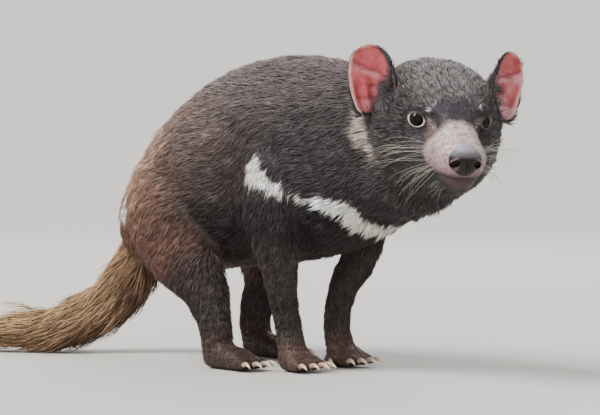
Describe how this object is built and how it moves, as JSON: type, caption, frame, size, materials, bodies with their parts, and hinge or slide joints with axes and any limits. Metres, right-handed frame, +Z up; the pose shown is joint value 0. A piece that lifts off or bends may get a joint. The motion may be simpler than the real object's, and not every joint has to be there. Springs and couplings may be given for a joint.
{
  "type": "tasmanian devil",
  "caption": "Still, life-size Tasmanian devil standing with its feet gathered, head turned to its right and tail laid back on the floor.",
  "frame": {"origin": "on the floor, under the middle of the animal's length and width as measured over tail, paws and nose", "axes": "+X the way the body faces, +Y towards the animal's left side, +Z up"},
  "size_m": [0.7224, 0.234, 0.3229],
  "materials": {
    "dark_coat": "coarse near-black hair with white marks on the chest, shoulder and rump",
    "brown_coat": "coarse reddish brown hair, longest on the tail",
    "nose_skin": "moist dark grainy skin",
    "ear_skin": "thin pinkish red skin, nearly bare inside",
    "paw_skin": "dark pinkish brown skin under short sparse hair",
    "eye_surface": "wet glossy black",
    "claw_horn": "pale translucent horn, satin"
  },
  "bodies": {
    "root": {"head": "dark_coat", "lower_jaw": "dark_coat", "nose": "nose_skin", "eye_right": "eye_surface", "eye_left": "eye_surface", "ear_right": "ear_skin", "ear_left": "ear_skin", "neck": "dark_coat", "torso": "dark_coat", "rump": "brown_coat", "tail_root": "brown_coat", "tail_middle": "brown_coat", "tail_tip": "brown_coat", "upper_arm_right": "dark_coat", "forearm_right": "dark_coat", "forepaw_right": "paw_skin", "claw_forepaw_right_1": "claw_horn", "claw_forepaw_right_2": "claw_horn", "claw_forepaw_right_3": "claw_horn", "claw_forepaw_right_4": "claw_horn", "claw_forepaw_right_5": "claw_horn", "upper_arm_left": "dark_coat", "forearm_left": "dark_coat", "forepaw_left": "paw_skin", "claw_forepaw_left_1": "claw_horn", "claw_forepaw_left_2": "claw_horn", "claw_forepaw_left_3": "claw_horn", "claw_forepaw_left_4": "claw_horn", "claw_forepaw_left_5": "claw_horn", "thigh_right": "brown_coat", "shank_right": "dark_coat", "hindpaw_right": "paw_skin", "claw_hindpaw_right_1": "claw_horn", "claw_hindpaw_right_2": "claw_horn", "claw_hindpaw_right_3": "claw_horn", "claw_hindpaw_right_4": "claw_horn", "thigh_left": "brown_coat", "shank_left": "dark_coat", "hindpaw_left": "paw_skin", "claw_hindpaw_left_1": "claw_horn", "claw_hindpaw_left_2": "claw_horn", "claw_hindpaw_left_3": "claw_horn", "claw_hindpaw_left_4": "claw_horn"}
  },
  "joints": []
}
